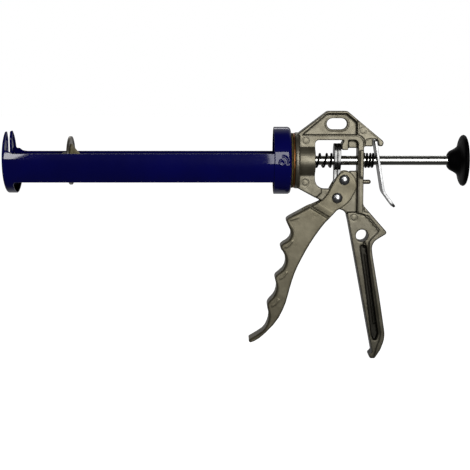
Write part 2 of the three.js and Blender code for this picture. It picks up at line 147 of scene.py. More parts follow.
def turned(name, profile, segments=SEGMENTS, axis="X", at=(0, 0)):
    """Turns a closed profile (along, radius) about X, or about Y through at = (x, z)."""
    rings, points, faces = [], [], []
    for along, r in profile:
        start = len(points)
        count = 1 if r < 1e-6 else segments
        for k in range(count):
            a = 2 * math.pi * k / segments
            s, c = r * math.sin(a), r * math.cos(a)
            points.append((along, s, c) if axis == "X" else (at[0] + s, along, at[1] + c))
        rings.append(range(start, start + count))
    for a, b in zip(rings, [*rings[1:], rings[0]]):
        if len(a) == len(b) == 1:
            continue
        for k in range(segments):
            j = (k + 1) % segments
            quad = [a[k % len(a)], a[j % len(a)], b[j % len(b)], b[k % len(b)]]
            faces.append(list(dict.fromkeys(quad)))
    return closed_mesh(name, points, faces)


def cylinder(name, low, high, r, segments, axis="X", at=(0, 0)):
    """A plain cylinder, used to cut holes."""
    return turned(name, [(low, 0), (low, r), (high, r), (high, 0)], segments, axis, at)


def prism(name, outline, low, high, across="Y"):
    """An outline (x, z) given a thickness along Y, or an outline (y, z) given one along X."""
    n = len(outline)
    points = []
    for level in (low, high):
        for a, b in outline:
            points.append((a, level, b) if across == "Y" else (level, a, b))
    faces = [list(range(n)), list(range(n, 2 * n))]
    faces += [[k, (k + 1) % n, n + (k + 1) % n, n + k] for k in range(n)]
    return closed_mesh(name, points, faces)


def combine(obj, tools, operation="DIFFERENCE"):
    """Cuts, joins or intersects obj with tools, which are used up."""
    for tool in tools:
        modifier = obj.modifiers.new("cut", "BOOLEAN")
        modifier.operation = operation
        modifier.solver = "EXACT"
        modifier.object = tool
        apply_modifiers(obj)
        bpy.data.objects.remove(tool)
    return obj


def soften(obj, width, segments=3, angle=35):
    """Rounds the sharp edges of a piece by width millimetres."""
    bevel = obj.modifiers.new("bevel", "BEVEL")
    bevel.width = width * MM
    bevel.segments = segments
    bevel.limit_method = "ANGLE"
    bevel.angle_limit = math.radians(angle)
    bevel.use_clamp_overlap = False
    return apply_modifiers(obj)


def shade(obj, angle=32):
    """Smooth shading with edges sharper than angle left crisp and large faces kept true."""
    obj.data.shade_smooth()
    obj.data.set_sharp_from_angle(angle=math.radians(angle))
    if angle < 180:
        weighted = obj.modifiers.new("weighted", "WEIGHTED_NORMAL")
        weighted.keep_sharp = True
        apply_modifiers(obj)


def finish_piece(obj, material, body, slot, *nodes, angle=32):
    """Gives a piece its material and its body, and hides the CAD nodes it stands for; slot is not used."""
    shade(obj, angle)
    obj.data.materials.clear()
    obj.data.materials.append(material)
    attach(obj, body)
    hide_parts(*nodes)
    return obj


def cast_copy(node, name, voxel, rounds):
    """A copy of a CAD node with the soft edges of a casting, fine enough to carry surface detail."""
    obj = link(name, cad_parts[node].data.copy())
    bm = bmesh.new()
    bm.from_mesh(obj.data)
    bmesh.ops.remove_doubles(bm, verts=bm.verts, dist=1e-6)
    bm.to_mesh(obj.data)
    bm.free()
    remesh = obj.modifiers.new("remesh", "REMESH")
    remesh.mode = "VOXEL"
    remesh.voxel_size = voxel * MM
    smooth = obj.modifiers.new("smooth", "SMOOTH")
    smooth.factor = 0.5
    smooth.iterations = rounds
    return apply_modifiers(obj)


# ---- surface relief on castings: signed heights over the side view ----
def distance_to_line(x, z, line):
    """Distance from each (x, z) to a polyline."""
    best = np.full(len(x), 1e9)
    for (x0, z0), (x1, z1) in zip(line, line[1:]):
        dx, dz = x1 - x0, z1 - z0
        t = np.clip(((x - x0) * dx + (z - z0) * dz) / (dx * dx + dz * dz), 0, 1)
        best = np.minimum(best, np.hypot(x - x0 - t * dx, z - z0 - t * dz))
    return best


def profile(distance, half_width, height):
    """A rounded ridge, or a groove where height is negative."""
    return height * np.clip(1 - (distance / half_width) ** 2, 0, 1)


RELIEF_BLEND = 0.2  # share of a normal over which the relief fades in


def relief(obj, height_of, facing=0.75):
    """Moves the side faces of obj outwards by height_of(x, y, z), in millimetres.

    facing is the share of a normal along Y from which a face counts as a side face.
    """
    mesh = obj.data
    count = len(mesh.vertices)
    co = np.empty(count * 3)
    mesh.vertices.foreach_get("co", co)
    co = co.reshape(-1, 3)
    normals = np.empty(count * 3, np.float32)
    mesh.vertex_normals.foreach_get("vector", normals)
    ny = normals.reshape(-1, 3)[:, 1]
    x, y, z = co[:, 0] / MM, co[:, 1] / MM, (co[:, 2] - AXIS_Z) / MM
    weight = np.clip((np.abs(ny) - facing) / RELIEF_BLEND, 0, 1)
    co[:, 1] += np.sign(ny) * weight * height_of(x, y, z) * MM
    mesh.vertices.foreach_set("co", co.ravel())
    mesh.update()


# ---- materials ----
def rgb(red, green, blue):
    """A colour given as it is seen on screen (0 to 255), as Blender's linear value."""

    def linear(c):
        c /= 255
        return c / 12.92 if c < 0.04045 else ((c + 0.055) / 1.055) ** 2.4

    return (linear(red), linear(green), linear(blue), 1)


TONE_SPAN = (0.36, 0.64)  # noise values between a finish's dark and light tones
GLOSS_SPAN = (0.3, 0.7)  # noise values between its glossiest and dullest spots
RECESS_SHADE_SPAN = (0.45, 0.95)  # openness of a spot, between full painted shade and none
SUNK_EDGE = 0.008  # height over which sunken shading fades out, in metres


def finish(name, light, dark, metallic, rough, *, patch=0.02, bumps=(), coat=0, coat_rough=0.03,
           specular=0.5, stretch=None, recess_shade=None, sunk_shade=None, lower_shade=None):
    """A procedural finish: two tones in soft patches, uneven gloss, and layers of fine bump.

    patch is the size of the colour patches and each bump is (grain size, height), all in metres; stretch
    scales the object axes so that grain can run along one of them. recess_shade = (reach, darkest) paints
    shade into corners and grooves. sunk_shade = (floor, face, top, share) paints shade onto what lies
    below height top and nearer to the middle plane than face, down to share at floor, and lower_shade =
    (low z, high z, share) paints shade that darkens the surface towards low z. All of them follow the
    object's own axes.
    """
    material = bpy.data.materials.new(name)
    material.use_nodes = True
    nodes, links = material.node_tree.nodes, material.node_tree.links
    shader = nodes["Principled BSDF"]
    shader.inputs["Metallic"].default_value = metallic
    shader.inputs["Specular IOR Level"].default_value = specular
    shader.inputs["Coat Weight"].default_value = coat
    shader.inputs["Coat Roughness"].default_value = coat_rough
    on_object = nodes.new("ShaderNodeTexCoord").outputs["Object"]
    place = on_object
    if stretch:
        mapping = nodes.new("ShaderNodeMapping")
        mapping.inputs["Scale"].default_value = stretch
        links.new(on_object, mapping.inputs["Vector"])
        place = mapping.outputs["Vector"]

    def noise(size, detail):
        node = nodes.new("ShaderNodeTexNoise")
        node.inputs["Scale"].default_value = 1 / size
        node.inputs["Detail"].default_value = detail
        links.new(place, node.inputs["Vector"])
        return node.outputs["Fac"]

    def ranged(value, span, low, high=1):
        """Carries value over span to low and high, and holds it at both ends."""
        node = nodes.new("ShaderNodeMapRange")
        node.inputs["From Min"].default_value, node.inputs["From Max"].default_value = span
        node.inputs["To Min"].default_value = low
        node.inputs["To Max"].default_value = high
        links.new(value, node.inputs["Value"])
        return node.outputs["Result"]

    def calculated(operation, *values):
        node = nodes.new("ShaderNodeMath")
        node.operation = operation
        for socket, value in zip(node.inputs, values):
            links.new(value, socket)
        return node.outputs["Value"]

    def darkened(colour, share):
        mix = nodes.new("ShaderNodeMix")
        mix.data_type = "RGBA"
        mix.blend_type = "MULTIPLY"
        mix.inputs["Factor"].default_value = 1
        links.new(colour, mix.inputs["A"])
        links.new(share, mix.inputs["B"])
        return mix.outputs["Result"]

    ramp = nodes.new("ShaderNodeValToRGB")
    for element, position, tone in zip(ramp.color_ramp.elements, TONE_SPAN, (dark, light)):
        element.position = position
        element.color = tone
    links.new(noise(patch, 5), ramp.inputs["Fac"])
    colour = ramp.outputs["Color"]
    # painted shade: ambient occlusion darkens corners and grooves
    if recess_shade:
        reach, darkest = recess_shade
        hollow = nodes.new("ShaderNodeAmbientOcclusion")
        hollow.samples = 8
        hollow.only_local = True
        hollow.inputs["Distance"].default_value = reach
        colour = darkened(colour, ranged(hollow.outputs["AO"], RECESS_SHADE_SPAN, darkest))
    if sunk_shade or lower_shade:
        axes = nodes.new("ShaderNodeSeparateXYZ")
        links.new(on_object, axes.inputs["Vector"])
    # painted shade on the faces that lie below the top height and near the middle plane
    if sunk_shade:
        floor, face, top, share = sunk_shade
        depth = ranged(calculated("ABSOLUTE", axes.outputs["Y"]), (floor, face), share)
        above = ranged(axes.outputs["Z"], (top - SUNK_EDGE, top), 0)
        colour = darkened(colour, calculated("MAXIMUM", depth, above))
    # painted shade that darkens the surface towards low z
    if lower_shade:
        low, high, share = lower_shade
        colour = darkened(colour, ranged(axes.outputs["Z"], (low, high), share))
    links.new(colour, shader.inputs["Base Color"])
    links.new(ranged(noise(patch * 0.4, 4), GLOSS_SPAN, *rough), shader.inputs["Roughness"])
    normal = None
    for size, height in bumps:
        bump = nodes.new("ShaderNodeBump")
        bump.inputs["Strength"].default_value = 1
        bump.inputs["Distance"].default_value = height
        links.new(noise(size, 2), bump.inputs["Height"])
        if normal:
            links.new(normal, bump.inputs["Normal"])
        normal = bump.outputs["Normal"]
    if normal:
        links.new(normal, shader.inputs["Normal"])
    return material


NAVY = finish("navy_gloss", rgb(0, 1, 92), rgb(0, 0, 82), 0, (0.3, 0.4), patch=0.03, specular=0.03,
              bumps=[(0.007, 0.0001), (0.0035, 0.00003)], coat=0.85, coat_rough=0.04)
# the frame's finish paints shade into recesses, onto the handle's sunken middle faces and towards the bottom
CAST = finish("die_cast", rgb(130, 125, 109), rgb(112, 107, 91), 0.75, (0.36, 0.46), patch=0.012,
              bumps=[(0.004, 0.00006), (0.0007, 0.000018)], recess_shade=(0.0025, 0.1), lower_shade=(0.04, 0.15, 0.6),
              sunk_shade=(0.0028, 0.0078, 0.112, 0.22))
# the trigger's finish paints shade into recesses and towards the bottom
LEVER = finish("die_cast_lever", rgb(128, 122, 102), rgb(108, 102, 83), 0.65, (0.36, 0.46), patch=0.016,
               bumps=[(0.005, 0.00008), (0.0007, 0.000018)], recess_shade=(0.0025, 0.3), lower_shade=(0.04, 0.14, 0.95))
CHROME = finish("chrome_rod", rgb(196, 196, 190), rgb(178, 178, 172), 1, (0.1, 0.18), patch=0.012,
                bumps=[(0.003, 0.000004)], stretch=(0.15, 1, 1))
STEEL = finish("bright_steel", rgb(205, 206, 206), rgb(186, 187, 186), 1, (0.24, 0.34), patch=0.008,
               bumps=[(0.0012, 0.000003)], stretch=(1, 1, 0.3))
# the satin steel paints shade into its recesses
SATIN = finish("satin_steel", rgb(170, 170, 170), rgb(148, 148, 148), 1, (0.28, 0.38), patch=0.008,
               bumps=[(0.0012, 0.000003)], recess_shade=(0.003, 0.4))
# the hardened steel paints shade into its recesses
HARDENED = finish("hardened_steel", rgb(132, 132, 130), rgb(98, 98, 97), 1, (0.22, 0.32), patch=0.006,
                  bumps=[(0.0012, 0.000003)], recess_shade=(0.003, 0.3))
POLISHED = finish("polished_rivet", rgb(190, 191, 192), rgb(165, 166, 166), 1, (0.2, 0.28), patch=0.003,
                  bumps=[(0.0008, 0.000008)])
ZINC = finish("zinc_plate", rgb(172, 168, 160), rgb(146, 140, 128), 0.9, (0.3, 0.45), patch=0.006,
              bumps=[(0.0009, 0.000015)])
PASSIVATED = finish("passivated_zinc", rgb(170, 160, 122), rgb(136, 126, 92), 0.8, (0.35, 0.5), patch=0.007,
                    bumps=[(0.0009, 0.000015)])
WIRE = finish("black_spring", rgb(30, 29, 28), rgb(14, 14, 14), 0.7, (0.25, 0.4), patch=0.003,
              bumps=[(0.0006, 0.00001)])
COPPER = finish("copper", rgb(166, 112, 62), rgb(126, 82, 46), 0.9, (0.3, 0.5), patch=0.005,
                bumps=[(0.0008, 0.00001)])
FIBRE = finish("olive_fibre", rgb(104, 92, 42), rgb(76, 66, 28), 0, (0.7, 0.9), patch=0.003,
               bumps=[(0.0006, 0.00003)])
BRASS = finish("brass_insert", rgb(196, 160, 82), rgb(166, 130, 60), 1, (0.25, 0.4), patch=0.004,
               bumps=[(0.0008, 0.00001)])
PLASTIC = finish("black_plastic", rgb(6, 6, 7), rgb(3, 3, 4), 0, (0.36, 0.48), patch=0.01, specular=0.05,
                 bumps=[(0.0009, 0.00002)])


# ---- cradle ----
CRADLE_R = CRADLE_HIGH.y
NOSE_X = CRADLE_LOW.x
NOSE_BEND = 1.6
RAIL_TOP = 6.9
RAIL_BOTTOM = -17.3
HORN_END_X = NOSE_X + 2.4
HORN_FOOT = 9.6
RIM_END_X = NOSE_X + 7.7
NOTCH_HALF = 7.4
RIVET_X = 37.6  # rivets through rails and rear cup
RIVET_HOLE_R = 2.3
RIVET_SHANK_R = 2
BEYOND = 40  # past the cradle, above, below and to the sides
BEHIND = 80  # past the cradle's rear end
PRESSED_LINE = {"r": 5, "half": 1, "depth": 0.45, "low": -1.5}  # round each rivet, in the cup


def arc(x, r, radius, start, end, steps=8):
    """Points (x, r) on an arc, angles in degrees."""
    angles = np.radians(np.linspace(start, end, steps + 1))
    return [(x + radius * math.cos(a), r + radius * math.sin(a)) for a in angles]


def rivet_holes():
    return cylinder("holes", -BEYOND, BEYOND, RIVET_HOLE_R, 32, "Y", (RIVET_X, 0))


def notch(half):
    """The nozzle notch seen from the end: a round-bottomed U that flares at its mouth."""
    return fillet([
        (-half - 8, 32), (-half, 18.5, 6), (-half, -half, half - 0.01), (half, -half, half - 0.01),
        (half, 18.5, 6), (half + 8, 32),
    ])


def cradle_pressing():
    bend, inner = NOSE_BEND, CRADLE_R - SHEET
    rows = np.linspace(NOSE_X + bend + 1, CRADLE_HIGH.x - 0.6, 48)
    shell = turned("cradle_looks", [
        (NOSE_X, 0),
        *arc(NOSE_X + bend, CRADLE_R - bend, bend, 180, 90),
        *[(x, CRADLE_R) for x in rows], (CRADLE_HIGH.x, CRADLE_R), (CRADLE_HIGH.x, inner),
        *[(x, inner) for x in rows[::-1]],
        *arc(NOSE_X + bend, CRADLE_R - bend, bend - SHEET, 90, 180, 4),
        (NOSE_X + SHEET, 0),
    ], 180)
    lip = prism("lip", notch(NOTCH_HALF + SHEET), NOSE_X + SHEET / 2, HORN_END_X, across="X")
    lip_limit = turned("lip_limit", [
        (NOSE_X + SHEET / 2, 0), (NOSE_X + SHEET / 2, CRADLE_R - SHEET / 2),
        (HORN_END_X, CRADLE_R - SHEET / 2), (HORN_END_X, 0),
    ], 180)
    combine(lip, [lip_limit], "INTERSECT")
    combine(shell, [lip], "UNION")
    top = fillet([
        (HORN_END_X, BEYOND), (HORN_END_X, HORN_FOOT, 1.2), (HORN_END_X + 2.7, HORN_FOOT, 1),
        (HORN_END_X + 6.2, RAIL_TOP, 3), (BEHIND, RAIL_TOP), (BEHIND, BEYOND),
    ])
    bottom = fillet([
        (RIM_END_X, -BEYOND), (RIM_END_X, RAIL_BOTTOM, 3), (BEHIND, RAIL_BOTTOM), (BEHIND, -BEYOND),
    ])
    combine(shell, [
        prism("top", top, -BEYOND, BEYOND),
        prism("bottom", bottom, -BEYOND, BEYOND),
        prism("notch", notch(NOTCH_HALF), NOSE_X - 5, NOSE_X + 30, across="X"),
        rivet_holes(),
    ])
    soften(shell, 0.3, 2, 50)
    # the bevel may not carry the horns' tips past the nose
    for vertex in shell.data.vertices:
        vertex.co.x = max(vertex.co.x, NOSE_X * MM)
    finish_piece(shell, NAVY, "cradle", "navy_paint", "cradle_pressing")


def press_line(cup, outer):
    """Presses a line into the cup on the rear side of each rivet."""
    for vertex in cup.data.vertices:
        height = (vertex.co.z - AXIS_Z) / MM
        beyond = vertex.co.x / MM - RIVET_X
        on_outside = math.hypot(vertex.co.y / MM, height) > outer - 0.1
        if beyond > 0 and height > PRESSED_LINE["low"] and on_outside:
            from_line = abs(math.hypot(beyond, height) - PRESSED_LINE["r"])
            press = 1 - profile(from_line, PRESSED_LINE["half"], PRESSED_LINE["depth"]) / outer
            vertex.co.y *= press
            vertex.co.z = AXIS_Z + height * press * MM


def rear_cup():
    outer, inner = CUP_HIGH.y, CRADLE_R + GAP
    wall, bend, bore = outer - inner, 3, HUB_BORE_R
    cup = turned("rear_cup_looks", [
        (CUP_HIGH.x - wall, bore),
        *arc(CUP_HIGH.x - bend, outer - bend, bend - wall, 0, 90),
        *arc(CUP_LOW.x + wall / 2, outer - wall / 2, wall / 2, 270, 90, 5),
        *[(x, outer) for x in np.linspace(CUP_LOW.x + wall, CUP_HIGH.x - bend - 0.4, 32)],
        *arc(CUP_HIGH.x - bend, outer - bend, bend, 90, 0, 10),
        *arc(CUP_HIGH.x - 0.3, bore + 0.3, 0.3, 0, -90, 3),
    ], 360)
    press_line(cup, outer)
    combine(cup, [rivet_holes()])
    finish_piece(cup, NAVY, "cradle", "navy_paint", "rear_cup", angle=40)


def cradle_rivet(side, name):
    """A painted rivet with a shallow dished head."""
    inside, outside = CRADLE_R - SHEET - GAP, CUP_HIGH.y + GAP
    shank = RIVET_SHANK_R
    profile_points = [
        (inside - 1, 0), (inside - 1, shank + 0.7), (inside - 0.7, shank + 1), (inside, shank + 1),
        (inside, shank),
        (outside, shank), (outside, shank + 1.2), (outside + 0.35, shank + 1.1),
        (outside + 0.65, shank + 0.5), (outside + 0.6, shank - 0.3), (outside + 0.25, 1), (outside + 0.15, 0),
    ]
    rivet = turned(name + "_looks", [(side * a, r) for a, r in profile_points], 48, "Y", (RIVET_X, 0))
    finish_piece(rivet, NAVY, "cradle", "navy_paint", name)


# ---- push rod, piston and knob ----
def push_rod():
    rod = turned("push_rod_looks", [
        (ROD_LOW.x, 0), (ROD_LOW.x, ROD_R - 0.8), (ROD_LOW.x + 0.25, ROD_R - 0.45),
        (ROD_LOW.x + 0.8, ROD_R),
        (ROD_HIGH.x - 0.8, ROD_R), (ROD_HIGH.x, ROD_R - 0.8), (ROD_HIGH.x, 0),
    ], 64)
    finish_piece(rod, CHROME, "push_rod", "chrome_rod", "push_rod")


def piston():
    low, high = node_mm("piston_plate")
    outer, x0, x1 = high.z, low.x, high.x - 0.8
    plate = turned("piston_plate_looks", [
        (x0, BORE_R), (x0, outer - 2), *arc(x0 + 0.9, outer - 0.9, 0.9, 180, 90, 5), (x1 + 0.6, outer),
        (x1 + 0.8, outer - 0.25), (x1 + 0.8, outer - 0.8), (x1 + 0.45, outer - 1.3), (x1, outer - 2),
        (x1, BORE_R),
    ])
    finish_piece(plate, ZINC, "push_rod", "zinc_plate", "piston_plate")
    low, high = node_mm("piston_cone")
    x0, foot = low.x, high.z
    cone = turned("piston_cone_looks", [
        (x0, BORE_R), (x0, foot - 0.2), (x0 + 0.2, foot), (x0 + 0.7, foot), (x0 + 0.95, foot - 0.25),
        *smooth_line([
            (x0 + 1.3, 13.2), (x0 + 2.6, 11), (x0 + 4.6, 8.6), (x0 + 6.2, 7), (x0 + 6.8, 6.2),
        ], 4),
        (x0 + 7, 5.8), (x0 + 7, BORE_R),
    ])
    finish_piece(cone, PASSIVATED, "push_rod", "zinc_plate", "piston_cone")
    low, high = node_mm("piston_washer")
    washer(low.x, high.x, high.z, BORE_R, ZINC, "push_rod", "zinc_plate", "piston_washer", edge=0.25)
    low, high = node_mm("piston_nut")
    hex_nut(low.x, high.x, 2 * high.z, BORE_R, ZINC, "push_rod", "zinc_plate", "piston_nut")


def washer(x0, x1, outer, bore, material, body, slot, node, edge=0.2):
    """A flat ring with rounded edges."""
    ring = turned(node + "_looks", [
        (x0, bore), *arc(x0 + edge, outer - edge, edge, 180, 90, 3),
        *arc(x1 - edge, outer - edge, edge, 90, 0, 3), (x1, bore),
    ])
    finish_piece(ring, material, body, slot, node)


def hex_nut(x0, x1, flats, bore, material, body, slot, node):
    """A hexagonal nut whose corners are turned down at both faces."""
    corner = flats / math.sqrt(3)
    turns = [math.radians(60 * k) for k in range(6)]
    hexagon = [(corner * math.cos(a), corner * math.sin(a)) for a in turns]
    nut = prism(node + "_looks", hexagon, x0, x1, across="X")
    drop = corner - flats / 2
    limit = turned("limit", [
        (x0, 0), (x0, flats / 2), (x0 + drop * 0.6, corner), (x1 - drop * 0.6, corner),
        (x1, flats / 2), (x1, 0),
    ], 96)
    combine(nut, [limit], "INTERSECT")
    chamfer = 0.5
    hole = turned("hole", [
        (x0 - PAST, 0), (x0 - PAST, bore + chamfer + PAST), (x0 + chamfer, bore), (x1 - chamfer, bore),
        (x1 + PAST, bore + chamfer + PAST), (x1 + PAST, 0),
    ], 96)
    combine(nut, [hole])
    soften(nut, 0.15, 2)
    finish_piece(nut, material, body, slot, node)


def knob():
    front, back, outer = KNOB_LOW.x, KNOB_HIGH.x, KNOB_HIGH.y
    socket, socket_end = 6.5, back - 3.6
    flare = smooth_line([
        (front + 0.5, 6.6), (front + 1.6, 7.8), (front + 3.5, 8.9), (front + 5.9, 10.2),
        (front + 8.3, 12.1), (front + 9.7, 14.3), (front + 10.5, 17.6), (front + 11.4, 20.2),
        (front + 12.4, outer - 0.35),
    ])
    body = turned("pull_knob_looks", [
        (front, BORE_R), (front, 5.9), *flare, (front + 13.3, outer),
        *arc(back - 1.8, outer - 1.8, 1.8, 80, 0, 8),
        *smooth_line([(back, 17), (back - 0.15, 12), (back - 0.5, 6), (back - 0.6, 0)], 4),
        (socket_end, 0), (socket_end, socket), (front + 5, socket), (front + 5, BORE_R),
    ])
    finish_piece(body, PLASTIC, "push_rod", "knob_plastic", "pull_knob")
    low, high = node_mm("knob_insert")
    washer(low.x, high.x, high.z, BORE_R, BRASS, "push_rod", "brass_insert", "knob_insert")


# ---- swivel hub ----
def hub():
    washers = (("copper_washer", COPPER, "copper"), ("fibre_washer", FIBRE, "fibre"))
    for node, material, slot in washers:
        low, high = node_mm(node)
        washer(low.x, high.x, high.z, HUB_BORE_R, material, "frame", slot, node, edge=0.35)
    low, high = node_mm("hub_tube")
    chamfer = 0.6
    tube = turned("hub_tube_looks", [
        (low.x, BORE_R), (low.x, high.z - chamfer), (low.x + chamfer, high.z), (high.x, high.z),
        (high.x, BORE_R),
    ], 96)
    finish_piece(tube, STEEL, "frame", "bright_steel", "hub_tube")
    low, high = node_mm("hub_nut")
    hex_nut(low.x, high.x, 2 * high.z, HUB_NUT_BORE_R, ZINC, "frame", "zinc_plate", "hub_nut")


def stop_peg():
    low, high = node_mm("stop_peg")
    r, middle = (high.z - low.z) / 2, (high.z + low.z) / 2
    peg = turned("stop_peg_looks", [
        (low.x, 0), (low.x, r), *arc(high.x - r, 0, r, 90, 8, 10), (high.x, 0),
    ], 40)
    for vertex in peg.data.vertices:
        vertex.co.z += middle * MM
    finish_piece(peg, CAST, "frame", "cast_frame", "stop_peg")


DOME_SHANK_R = 2.6
DOME_SEAT = 2.7  # from the dome's top down to its seat
DOME_RISE = 2.2
DOME_ANGLES = (12, 25, 38, 50, 62, 74, 84)


def domed_rivet(node, body):
    """A polished rivet with a dome on each side and a fine step under it."""
    low, high = node_mm(node)
    at = ((low.x + high.x) / 2, (low.z + high.z) / 2)
    top, head = high.y, (high.x - low.x) / 2
    seat = top - DOME_SEAT
    dome = [(seat + 0.5 + DOME_RISE * math.sin(a), head * math.cos(a)) for a in np.radians(DOME_ANGLES)]
    side = [
        (seat, DOME_SHANK_R), (seat, head - 0.25), (seat + 0.2, head), (seat + 0.5, head), *dome, (top, 0),
    ]
    other = [(-a, r) for a, r in reversed(side)]
    rivet = turned(node + "_looks", [*other, *side], 64, "Y", at)
    finish_piece(rivet, POLISHED, body, "polished_rivet", node, angle=50)


# ---- gripping plates, release plate and springs ----
GRIP_HEAD_R = 8.5
GRIP_TOP = 14.6
TONGUE_HALF = 4.2


def grip_plates():
    """The two plates: round above and below the rod, with a tongue that reaches down to the trigger."""
    head, tongue, neck = GRIP_HEAD_R, TONGUE_HALF, GRIP_TOP - GRIP_HEAD_R
    low = node_mm("grip_plate_front")[0].z
    edge = math.sqrt(head**2 - tongue**2)
    right = [
        (tongue - 1.5, low), (tongue, low + 1.5),
        *[(head * math.cos(a), head * math.sin(a)) for a in np.linspace(math.atan2(-edge, tongue), 0, 14)],
        *[(head * math.cos(a), neck + head * math.sin(a)) for a in np.linspace(0, math.pi / 2, 16)],
    ]
    outline = [*right, *[(-y, z) for y, z in reversed(right[:-1])]]
    for node in ("grip_plate_front", "grip_plate_rear"):
        low_corner, high_corner = node_mm(node)
        x0, x1 = low_corner.x, high_corner.x
        plate = prism(node + "_looks", outline, x0, x1, across="X")
        combine(plate, [cylinder("bore", x0 - PAST, x1 + PAST, BORE_R, 72)])
        soften(plate, 0.35)
        finish_piece(plate, HARDENED, "gripping_plates", "bright_steel", node)


RELEASE_THICK = 2.1
RELEASE_HALF = 9.5
RELEASE_BEND_R = 12
RELEASE_HOLE_R = 4.9
RELEASE_SPAN = (100, 140)  # reach along X of the tools that shape the plate


def release_plate():
    """The bent thumb plate, cut to a rounded outline with a hole for the rod."""
    thick, half = RELEASE_THICK, RELEASE_HALF
    side = fillet([
        (115.9, 16.9, 0.6), (115.9 + thick, 17.2, 0.6), (125.2, -25.8, RELEASE_BEND_R - thick),
        (134.7, -38.5, 0.9), (133, -39.8, 0.9), (123.2, -26.6, RELEASE_BEND_R),
    ])
    strip = prism("release_plate_looks", side, -half, half)
    front = fillet([(-half, -45, 4.5), (half, -45, 4.5), (half, 20, 1.5), (-half, 20, 1.5)])
    front = [(y, z + (4.9 if z < 0 else -2.6)) for y, z in front]
    combine(strip, [prism("front", front, *RELEASE_SPAN, across="X")], "INTERSECT")
    combine(strip, [cylinder("hole", *RELEASE_SPAN, RELEASE_HOLE_R, 72)])
    soften(strip, 0.35)
    finish_piece(strip, SATIN, "release_plate", "bright_steel", "release_plate")


WIRE_R = 0.92
CLOSED_TURNS = 0.8  # at each end of a spring
CLOSED_PITCH = 1.76  # rise of a closed end, in radii of the wire


def coil(node, turns, body):
    """A compression spring with closed ends."""
    low, high = node_mm(node)
    wire, sides, per_turn = WIRE_R, 14, 48
    radius = high.z - wire
    x0, x1 = low.x + wire, high.x - wire
    closed, lead = CLOSED_TURNS / turns, CLOSED_PITCH * wire
    steps = round(per_turn * turns)
    centres = []
    for k in range(steps + 1):
        t = k / steps
        if t < closed:
            along = lead * t / closed
        elif t > 1 - closed:
            along = x1 - x0 - lead * (1 - t) / closed
        else:
            along = lead + (x1 - x0 - 2 * lead) * (t - closed) / (1 - 2 * closed)
        centres.append((x0 + along, 2 * math.pi * turns * t))
    points, faces = [], []
    for along, a in centres:
        for s in range(sides):
            b = 2 * math.pi * s / sides
            r = radius + wire * math.cos(b)
            points.append((along + wire * math.sin(b), r * math.sin(a), r * math.cos(a)))
    for k in range(steps):
        for s in range(sides):
            n = (s + 1) % sides
            faces.append([k * sides + s, k * sides + n, (k + 1) * sides + n, (k + 1) * sides + s])
    faces += [list(range(sides)), list(range(steps * sides, (steps + 1) * sides))]
    spring = closed_mesh(node + "_looks", points, faces)
    finish_piece(spring, WIRE, body, "spring_steel", node, angle=50)
    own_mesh(spring)


# ---- castings ----
SLOT = {"x": 84.8, "z": 31, "half": 8.7, "r": 4.65}  # the hanging slot
MARK_R = 2.6
EJECTOR_MARKS = [(106, 25.1), (57.9, 16.8), (57.8, -18.5), (99.5, -48.2)]


def frame_relief(x, y, z):
    """Cast-in detail of the frame's side faces."""
    height = np.zeros(len(x))
    for mark in EJECTOR_MARKS:
        height += profile(np.abs(np.hypot(x - mark[0], z - mark[1]) - MARK_R), 0.6, -0.28)
    # raised rim round the hanging slot
    reach = SLOT["half"] - SLOT["r"]
    from_slot = np.hypot(np.maximum(np.abs(x - SLOT["x"]) - reach, 0), z - SLOT["z"]) - SLOT["r"]
    height += np.where(from_slot < 3, profile(np.abs(from_slot - 0.6), 1, 0.4), 0)
    # groove that parts the wall band and the bar from the hook lobe, and the lobe's own rim
    band = [(56, 21.3), (100.6, 21.3), (103.8, 20.6), (106.2, 18.6), (107.4, 15.6), (107.6, 11.8)]
    height += profile(distance_to_line(x, z, band), 0.75, -0.6)
    height += profile(distance_to_line(x, z, [(102.2, 33), (119.8, 18.6)]), 0.6, -0.45)
    height += profile(distance_to_line(x, z, [(102, 35), (102, 22)]), 0.7, -0.6)
    height += profile(np.abs(np.hypot(x - 112.4, z - 12.4) - 5.8), 0.6, np.where(z > 14, -0.45, 0))
    # lines where the wall meets the grip, and the gusset behind it
    height += profile(distance_to_line(x, z, [(94.2, -43.9), (102.4, -43.9)]), 0.6, -0.5)
    wall_foot = [(102.2, 8), (102.4, -44.6), (110.6, -46.6), (120.4, -58.6)]
    height += profile(distance_to_line(x, z, wall_foot), 0.8, -0.7)
    height += profile(distance_to_line(x, z, [(107.4, -34), (107.4, -43.4), (112, -44.4)]), 0.6, -0.45)
    height += profile(distance_to_line(x, z, [(107.4, -41.5), (110.6, -38.6)]), 0.6, -0.4)
    # groove between the through hole and the handle's channel
    height += profile(distance_to_line(x, z, [(108.4, -68.4), (109.4, -74)]), 1, -1.2)
    # low rib on the floor of the handle's channel
    rib = [(110, -80), (114.6, -112), (118.6, -140)]
    height += profile(distance_to_line(x, z, rib), 0.8, np.where(np.abs(y) < 6, 0.8, 0))
    return height


FRAME_VOXEL = 0.6
LEVER_VOXEL = 0.5


def frame_casting():
    casting = cast_copy("frame_casting", "frame_casting_looks", FRAME_VOXEL, 3)
    relief(casting, frame_relief)
    finish_piece(casting, CAST, "frame", "cast_frame", "frame_casting", angle=180)


CRESTS = [(43, -49), (37.4, -74), (32.8, -101), (26.2, -124.6)]  # between the finger grooves
FINGER_HALF = 10
STEP_AT = (62.7, -37.4)  # front end of the slanted step between the cheeks and the finger grip
STEP_RUN = (15.6, 9.5)
STEP_SLOPE = 0.61


